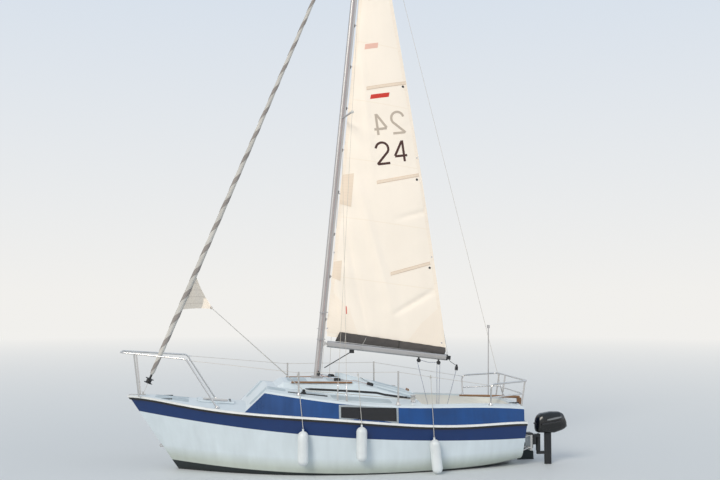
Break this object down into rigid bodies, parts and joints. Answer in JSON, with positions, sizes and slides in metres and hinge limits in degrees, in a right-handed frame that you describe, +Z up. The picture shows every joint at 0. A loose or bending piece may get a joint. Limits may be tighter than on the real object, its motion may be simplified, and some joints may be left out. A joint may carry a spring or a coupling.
{
  "type": "cabin sailing boat",
  "caption": "Small cabin sailing boat with raised blue sides, mainsail on a swinging boom, furled jib, fin keel, tiller rudder and tilting outboard motor.",
  "frame": {"origin": "on the waterline, amidships, on the centreline", "axes": "+X towards the bow, +Y to port, +Z up"},
  "size_m": [6.5875, 2.3533, 9.5721],
  "materials": {
    "hull_white": "white gelcoat, satin gloss",
    "side_blue": "blue painted gelcoat",
    "deck_white": "white deck gelcoat with non-slip panels",
    "liner": "moulded liner",
    "antifouling": "dark antifouling paint",
    "white_rail": "white strake",
    "black_rubber": "black rubbing strip",
    "window_glass": "smoked acrylic",
    "aluminium": "anodised",
    "stainless": "polished stainless steel",
    "sailcloth": "woven sailcloth",
    "canvas": "dark canvas",
    "furled_sail": "rolled sail with sun strip",
    "fender_vinyl": "pale vinyl",
    "wood": "varnished hardwood",
    "motor_black": "black motor cowl",
    "motor_metal": "black painted casting",
    "black_plastic": "black moulded plastic"
  },
  "bodies": {
    "hull": {"hull_shell": "hull_white", "keel": "antifouling", "rubbing_rail": "white_rail", "rubber_strip": "black_rubber", "foredeck": "deck_white", "raised_sides": "side_blue", "raised_deck": "deck_white", "coachroof": "deck_white", "cockpit": "liner", "cabin_liner": "liner", "window_glass": "window_glass", "window_frames": "aluminium", "hatch_runners": "deck_white", "washboard": "wood", "forehatch_rim": "deck_white", "mast": "aluminium", "mast_step": "aluminium", "masthead": "aluminium", "spreaders": "aluminium", "port_shrouds": "stainless", "starboard_shrouds": "stainless", "chainplates": "stainless", "forestay": "stainless", "furler_drum": "black_plastic", "furled_jib": "furled_sail", "backstay": "stainless", "backstay_plate": "stainless", "gooseneck": "stainless", "pulpit": "stainless", "pushpit": "stainless", "stanchions": "stainless", "lifelines": "stainless", "stern_light": "aluminium", "cleats": "black_plastic", "bow_fitting": "stainless", "grab_rails": "wood", "bow_eye": "stainless", "fenders": "fender_vinyl", "gudgeons": "stainless", "motor_bracket": "stainless", "motor_clamp": "motor_metal", "winches": "stainless", "jib_tracks": "black_plastic", "sheet_block": "black_plastic"},
    "boom": {"boom": "aluminium", "boom_tang": "stainless", "boom_end": "black_plastic", "sail_cover": "canvas", "mainsail": "sailcloth", "vang": "black_plastic"},
    "rudder": {"rudder_head": "aluminium", "rudder_blade": "antifouling", "tiller": "wood"},
    "motor_tilt": {"motor_swivel": "motor_metal"},
    "motor_steer": {"motor_leg": "motor_metal", "motor_cowl": "motor_black", "motor_handle": "black_plastic"},
    "propeller": {"propeller": "motor_metal"},
    "cabin_hatch": {"sliding_hatch": "deck_white"},
    "forehatch": {"forehatch": "deck_white"}
  },
  "joints": [
    {"name": "boom_swing", "type": "hinge", "parent": "hull", "child": "boom", "pos_m": [0.02062, 0, 1.79321], "axis": [-0.097, 0, 0.9953], "range_deg": [-70, 70]},
    {"name": "rudder_turn", "type": "hinge", "parent": "hull", "child": "rudder", "pos_m": [-2.965, 0, 0.36], "axis": [0, 0, 1], "range_deg": [-35, 35]},
    {"name": "motor_tilt", "type": "hinge", "parent": "hull", "child": "motor_tilt", "pos_m": [-3.062, 0.45, 0.425], "axis": [0, 1, 0], "range_deg": [0, 35]},
    {"name": "motor_steer", "type": "hinge", "parent": "motor_tilt", "child": "motor_steer", "pos_m": [-3.14, 0.45, 0.32], "axis": [0, 0, 1], "range_deg": [-30, 30]},
    {"name": "propeller_spin", "type": "hinge", "parent": "motor_steer", "child": "propeller", "pos_m": [-3.4065, 0.45, -0.43], "axis": [1, 0, 0], "continuous": true},
    {"name": "hatch_slide", "type": "slide", "parent": "hull", "child": "cabin_hatch", "axis": [0.9658, 0, 0.2593], "range_m": [0, 0.45]},
    {"name": "forehatch_lift", "type": "hinge", "parent": "hull", "child": "forehatch", "pos_m": [1.899, 0, 1.004], "axis": [0, 1, 0], "range_deg": [0, 95]}
  ]
}
